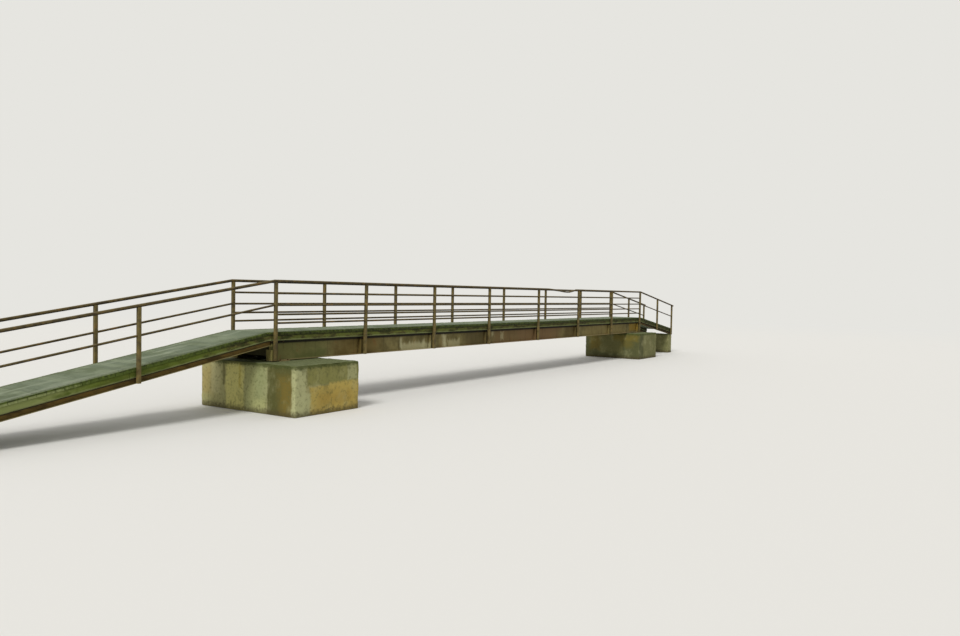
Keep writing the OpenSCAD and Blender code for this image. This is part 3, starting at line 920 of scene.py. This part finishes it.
def squash(rail, y, x, z, share):
    """Flattens the ring of a pipe at a place and spreads it sideways."""
    pick(rail, "verts", lambda v: abs(v.co.x - x) < 0.002)
    bpy.ops.transform.resize(value=(1, 1 + 0.4 * share, 1 - share), center_override=(x, y, z))
    leave()


def add_top_rails(steel):
    ends = [LEFT_POST_X[0] - RAIL_END, RIGHT_POST_X[1] + RAIL_END]
    bay = POST_X[5] - POST_X[4]
    places = [ends[0], LEFT_POST_X[1], BEND_X0, *POST_X[1:-1], BEND_X1, RIGHT_POST_X[0], ends[1]]
    for side, y in POST_Y.items():
        dent = DENT if side == "front" else []
        dent = [(POST_X[4] + (DENT_PLACE + along) * bay, share * DENT_DEPTH, flat)
                for along, share, flat in dent]
        stations = [(x, top_rail_z(x)) for x in places]
        stations += [(x, top_rail_z(x) - depth) for x, depth, flat in dent]
        rail = pipe(f"{side}_top_pipe", y, sorted(stations), TOP_RAIL_R)
        for x, depth, flat in dent:
            if flat:
                squash(rail, y, x, top_rail_z(x) - depth, flat)
        for end in (-1, 1):
            pick(rail, "faces", lambda f: f.normal.x * end > 0.9)
            bpy.ops.mesh.inset(thickness=CAP_EDGE)
            bpy.ops.transform.translate(value=(end * CAP_DOME, 0, 0))
            leave()
        smooth(rail, 40)
        dress(rail, "railing_steel", steel, f"{side}_top_rail")


def add_lower_rails(steel):
    """The lower rails, one pipe to a bay, butted to the posts."""
    for side, y in POST_Y.items():
        parts = []
        for height in INFILL_RAILS:
            for x0, x1 in zip(POST_X, POST_X[1:]):
                ends = [(x0 + POST_S / 2, DECK_TOP + height), (x1 - POST_S / 2, DECK_TOP + height)]
                parts.append(pipe("rail", y, ends, RAIL_R))
        made = joined(f"{side}_infill_pipes", parts)
        smooth(made)
        dress(made, "railing_steel", steel, f"{side}_infill_rails")
        parts = []
        for x0, x1 in zip(ALL_POST_X, ALL_POST_X[1:]):
            places = [x0 + POST_S / 2, x1 - POST_S / 2]
            places += [x for x in (BEND_X0, BEND_X1) if places[0] < x < places[1]]
            parts.append(pipe("rail", y, [(x, mid_rail_z(x)) for x in sorted(places)], RAIL_R))
        made = joined(f"{side}_mid_pipes", parts)
        smooth(made)
        dress(made, "railing_steel", steel, f"{side}_mid_rail")


def lean_at(side, x, z):
    """How far the leaning post's middle has moved along the bridge at a height."""
    leaning = side == "front" and abs(x - POST_X[1]) < 0.01
    return math.tan(LEAN) * (z - girder_low.z) if leaning else 0.0


def add_rail_welds(steel):
    """Beads where the rails meet the posts."""
    thin = ring_bead_pattern(RAIL_R, THIN_BEAD)
    thick = ring_bead_pattern(TOP_RAIL_R * POST_BEAD, THICK_BEAD)
    for side, y in POST_Y.items():
        beads = []
        for n, x in enumerate(ALL_POST_X):
            for face in (-1, 1):
                end = x + face * POST_S / 2
                beyond = n + face
                lines = [(thick, top_rail_z)]
                if 0 <= beyond < len(ALL_POST_X):
                    lines.append((thin, mid_rail_z))
                for bead, line in lines:
                    slope = math.atan2(line(end + 0.01) - line(end - 0.01), 0.02)
                    spot = at(end + lean_at(side, x, line(end)), y, line(end))
                    beads.append(copy_of(bead, spot @ Matrix.Rotation(-slope, 4, "Y")))
                if x in POST_X and 2 <= beyond < len(ALL_POST_X) - 2:
                    for height in INFILL_RAILS:
                        z = DECK_TOP + height
                        beads.append(copy_of(thin, at(end + lean_at(side, x, z), y, z)))
        made = joined(f"{side}_rail_welds", beads)
        smooth(made, 60)
        dress(made, "railing_steel", steel)
    drop(thin, thick)


# Welds and bolts of the girders

BEAD_R = 0.0055
COPE = 0.025  # from the flanges to a stiffener's beads
STICK_OUT = 0.001  # of the beads beside a post
WASHER_R, WASHER_T = 0.018, 0.003
NUT_R, NUT_H = 0.0155, 0.014
BOLT_R, BOLT_END = 0.0085, 0.008


def long_bead_pattern(length):
    """A weld bead that stands on the origin, to be sunk half into a corner."""
    bead = disc("bead", 6, BEAD_R, length, 0)
    cut(bead, 2, 0.012)
    modify(bead, "DISPLACE", texture=clouds("ripple", 0.012), strength=0.003, mid_level=0.5)
    return bead


def nut_pattern():
    """A washer, a six-sided nut and the end of its bolt, seated on the origin."""
    washer = disc("washer", 16, WASHER_R, WASHER_T, 0)
    nut = disc("nut", 6, NUT_R, NUT_H, WASHER_T)
    soften(nut, 0.0012, 1)
    shank = disc("shank", 12, BOLT_R, BOLT_END, WASHER_T + NUT_H)
    soften(shank, 0.001, 1)
    return joined("nut", [washer, nut, shank])


def stiffener_places():
    """On either side of every post, but not beyond the first and the last."""
    return [x + side * STIFFENER_GAP / 2 for x in POST_X for side in (-1, 1)][1:-1]


def add_girder_welds(fixings):
    """Beads down both sides of each stiffener, and beside the posts at both flanges."""
    tall = long_bead_pattern(GIRDER_H - 2 * (FLANGE_T + COPE))
    short = long_bead_pattern(FLANGE_T + 0.006)
    foot = girder_low.z + FLANGE_T + COPE
    for side, web in WEB_Y.items():
        outer = -1 if side == "front" else 1
        beads = []
        for x in stiffener_places():
            for face in (-1, 1):
                for half in (-1, 1):
                    spot = at(x + face * STIFFENER_T / 2, web + half * WEB_T / 2, foot)
                    beads.append(copy_of(tall, spot))
        for x in POST_X:
            for face in (-1, 1):
                for z in (girder_low.z, girder_high.z - FLANGE_T - 0.005):
                    beside = x + lean_at(side, x, z) + face * (POST_S / 2 + STICK_OUT)
                    spot = at(beside, web + outer * (FLANGE_W / 2 + STICK_OUT), z)
                    beads.append(copy_of(short, spot))
        made = joined(f"{side}_girder_welds", beads)
        smooth(made, 60)
        dress(made, "girder_steel", fixings)
    drop(tall, short)


# Ways that a nut faces
UP = Matrix.Identity(4)
DOWN = Matrix.Rotation(math.pi, 4, "X")
AHEAD = Matrix.Rotation(math.pi / 2, 4, "Y")
BEHIND = Matrix.Rotation(-math.pi / 2, 4, "Y")

TIMBER_BOLTS = 32  # to a girder
TIMBER_BOLT_IN = 0.32  # from the girder's ends
TIMBER_BOLT_OFF = 0.055  # from the web
TIMBER_BOLT_CLEAR = 0.03  # of a stiffener's middle
CHANNEL_BOLT_IN = 0.045  # from the channels' ends
CHANNEL_BOLTS = (-0.08, 0, 0.08)  # up from their middle
LAST_CHANNEL_BOLTS = (-0.08, -0.01)
PLATE_BOLTS = (0.05, 0.25)  # from the bearing plates' ends
PLATE_BOLT_OFF = 0.02  # from the flanges
HANGER_BOLT_DOWN = 0.04  # from the hangers' tops
HANGER_BOLTS = (0, 0.05)  # in from the web


def timber_bolt_seats():
    """Under the top flanges, on either side of the web by turns, and clear of the stiffeners. A seat is
    a place and the way that a nut faces there."""
    seats = []
    run = girder_high.x - girder_low.x - 2 * TIMBER_BOLT_IN
    for web in WEB_Y.values():
        for n in range(TIMBER_BOLTS):
            x = girder_low.x + TIMBER_BOLT_IN + n * run / (TIMBER_BOLTS - 1)
            from_post = min(abs(x - post) for post in POST_X)
            if abs(from_post - STIFFENER_GAP / 2) > TIMBER_BOLT_CLEAR:
                off = TIMBER_BOLT_OFF if n % 2 else -TIMBER_BOLT_OFF
                seats.append(((x, web + off, girder_high.z - FLANGE_T), DOWN))
    return seats


def channel_bolt_seats():
    """Through the cross channels' ends: three bolts to an end, and two at the last channel."""
    seats = []
    low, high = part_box("cross_channels")
    for x in POST_X:
        last = x == POST_X[-1]
        wall = girder_high.x if last else x + (STIFFENER_GAP + STIFFENER_T) / 2
        for y in (low.y + CHANNEL_BOLT_IN, high.y - CHANNEL_BOLT_IN):
            for lift in LAST_CHANNEL_BOLTS if last else CHANNEL_BOLTS:
                z = (low.z + high.z) / 2 + lift
                seats += [((wall + CROSS_T, y, z), AHEAD), ((wall - STIFFENER_T, y, z), BEHIND)]
    return seats


def end_bolt_seats():
    """On the bearing plates beside the flanges, and on the ramps' hangers."""
    seats = []
    low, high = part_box("bearing_plates")
    off = FLANGE_W / 2 + PLATE_BOLT_OFF
    near, far = PLATE_BOLTS
    for x in (low.x + near, low.x + far, high.x - far, high.x - near):
        for web in WEB_Y.values():
            seats += [((x, web + side * off, high.z), UP) for side in (-1, 1)]
    low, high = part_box("ramp_hangers")
    z = girder_high.z - HANGER_BOLT_DOWN
    for x, way in ((low.x, BEHIND), (high.x, AHEAD)):
        for web in WEB_Y.values():
            inner = 1 if web < AXIS_Y else -1
            seats += [((x, web + inner * off, z), way) for off in HANGER_BOLTS]
    return seats


def add_bolts(fixings):
    nut = nut_pattern()
    for name, seats in (
        ("timber_bolts", timber_bolt_seats()),
        ("channel_bolts", channel_bolt_seats()),
        ("end_bolts", end_bolt_seats()),
    ):
        made = joined(name, [copy_of(nut, at(*place) @ way) for place, way in seats])
        smooth(made, 30)
        dress(made, "girder_steel", fixings)
    drop(nut)


# Concrete

CHAMFER = 0.022
WORN_BAND = 0.05  # of the edges, from either face
CONCRETE_GRID = 0.04  # fine enough for chips and waves


def near_edge(co, low, high):
    """Whether a point is close to two or more faces, the bottom one not counted."""
    near = [min(co[axis] - low[axis], high[axis] - co[axis]) < WORN_BAND for axis in (0, 1)]
    return sum(near) + (high.z - co.z < WORN_BAND) >= 2


def concrete_block(node, name, finish_name, stains, top=None):
    """A poured block with worn, chipped edges and gentle waves in its faces. Its top is level, or it
    follows a function of the place along the bridge."""
    low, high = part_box(node)
    made = block(name, low, high)
    pick(made, "edges", lambda e: max(v.co.z for v in e.verts) > low.z + 0.001)
    bpy.ops.mesh.bevel(offset=CHAMFER, segments=2, affect="EDGES")
    leave()
    for axis in (0, 1, 2):
        cut(made, axis, CONCRETE_GRID)
    at_edges = [v.index for v in made.data.vertices if near_edge(v.co, low, high)]
    made.vertex_groups.new(name="worn").add(at_edges, 1.0, "REPLACE")
    modify(made, "DISPLACE", texture=clouds("waves", 0.6), strength=0.012, mid_level=0.5)
    modify(made, "DISPLACE", texture=clouds("wear", 0.13, 2), strength=0.024, mid_level=0.62,
           vertex_group="worn")
    modify(made, "DISPLACE", texture=clouds("pits", 0.03), strength=0.003, mid_level=0.5)
    for v in made.data.vertices:
        v.co.z = max(v.co.z, low.z)
        if top:
            v.co.z *= top(v.co.x) / high.z
    smooth(made, 60)
    dress(made, "concrete", stained_concrete(finish_name, high.z, stains), node)


def add_concrete():
    for side, stains in (("left", LEFT_STAINS_AND_PAINTED_LIGHT), ("right", RIGHT_STAINS)):
        concrete_block(side + "_abutment", side + "_concrete", side + "_stained_concrete", stains)
    for side in ("left", "right"):
        concrete_block(side + "_ramp_footing", side + "_footing", side + "_footing_concrete",
                       FOOTING_STAINS, ramp_underside)


# Stage

BACKDROP = "#e6e5e0"
FLOOR_R = 900
FLOOR_DROP = 0.004  # below the concrete's feet
FADE_START = 26
FADE_END = 60


def add_floor():
    """A pale floor that runs out into the backdrop's colour. It shows only from above."""
    deselect()
    bpy.ops.mesh.primitive_circle_add(
        vertices=96, radius=FLOOR_R, fill_type="NGON", location=(0, 0, -FLOOR_DROP))
    floor = settle("studio_floor")
    made, tree, place = new_material("pale_floor")
    away = add(tree, "VectorMath", {0: place}, operation="LENGTH")
    amount = add(tree, "MapRange", {
        "Value": away, "From Min": FADE_START, "From Max": FADE_END,
    }, interpolation_type="SMOOTHSTEP")
    near = add(tree, "BsdfPrincipled", {"Base Color": "#dedcd6", "Roughness": 0.9})
    far = add(tree, "Emission", {"Color": BACKDROP})
    above = add(tree, "MixShader", {0: amount, 1: near, 2: far})
    below = add(tree, "NewGeometry").outputs["Backfacing"]
    whole = add(tree, "MixShader", {0: below, 1: above, 2: add(tree, "BsdfTransparent")})
    add(tree, "OutputMaterial", {"Surface": whole})
    floor.data.materials.append(made)


KEY_SIDE = (-0.80, -0.20, 0.75)  # where the lamp's light comes from


def add_lights():
    """An even sky, and one soft lamp from the long ramp's side, high and a little in front."""
    world = bpy.data.worlds.new("studio")
    bpy.context.scene.world = world
    world.use_nodes = True
    tree = world.node_tree
    tree.nodes.clear()
    rays = add(tree, "LightPath").outputs
    seen = add(tree, "Math", {0: rays["Is Camera Ray"], 1: rays["Is Glossy Ray"]}, operation="MAXIMUM")
    seen = add(tree, "Math", {0: seen, 1: rays["Is Transmission Ray"]}, operation="MAXIMUM")
    light = add(tree, "Background", {"Color": "#ffffff", "Strength": 0.62})
    wall = add(tree, "Background", {"Color": BACKDROP, "Strength": 1.0})
    add(tree, "OutputWorld", {"Surface": add(tree, "MixShader", {0: seen, 1: light, 2: wall})})
    bpy.ops.object.light_add(type="SUN", location=(-20, -8, 20))
    lamp = bpy.context.object
    lamp.name = "key_light"
    lamp.data.energy = 2.2
    lamp.data.angle = math.radians(18)
    lamp.rotation_euler = Vector(KEY_SIDE).to_track_quat("Z", "Y").to_euler()


# The photograph's viewpoint: its place, its heading from +Y towards +X, how far it looks down, its
# roll, and its lens on a 36 mm sensor

VIEW_PLACE = (-19.589, -12.693, 2.470)
VIEW_HEADING = math.radians(56.671)
VIEW_DOWN = math.radians(1.790)
VIEW_ROLL = math.radians(1.081)
VIEW_LENS = 29.81


def add_camera():
    ahead = Vector((
        math.sin(VIEW_HEADING) * math.cos(VIEW_DOWN),
        math.cos(VIEW_HEADING) * math.cos(VIEW_DOWN),
        -math.sin(VIEW_DOWN)))
    level = Vector((math.cos(VIEW_HEADING), -math.sin(VIEW_HEADING), 0))
    upward = level.cross(ahead)
    right = math.cos(VIEW_ROLL) * level + math.sin(VIEW_ROLL) * upward
    up = -math.sin(VIEW_ROLL) * level + math.cos(VIEW_ROLL) * upward
    bpy.ops.object.camera_add()
    made = bpy.context.object
    made.name = "camera"
    made.matrix_world = at(*VIEW_PLACE) @ Matrix((right, up, -ahead)).transposed().to_4x4()
    made.data.lens = VIEW_LENS
    made.data.sensor_width = 36.0
    made.data.clip_end = 3000
    bpy.context.scene.camera = made


def main():
    tubes = rusted_paint("rusted_brown_paint_on_tubes", "#4c4226", "#706339")
    pipes = rusted_paint("rusted_brown_paint_on_pipes", "#382f1b", "#5a4d2c")
    fixings = rusted_fixings()
    finish(girder_paint(), "front_girder", "back_girder", "cross_channels",
           "bearing_plates", "ramp_hangers")
    for ramp, (start, slope) in RAMPS.items():
        finish(channel_paint(ramp + "_ramp_channel_paint", start, slope), ramp + "_ramp_stringers")
    add_decks(fixings)
    add_timbers()
    add_posts(tubes)
    add_top_rails(pipes)
    add_lower_rails(pipes)
    add_rail_welds(pipes)
    add_girder_welds(fixings)
    add_bolts(fixings)
    add_concrete()
    add_floor()
    add_lights()
    add_camera()
    bpy.context.scene.view_settings.view_transform = "Standard"


main()
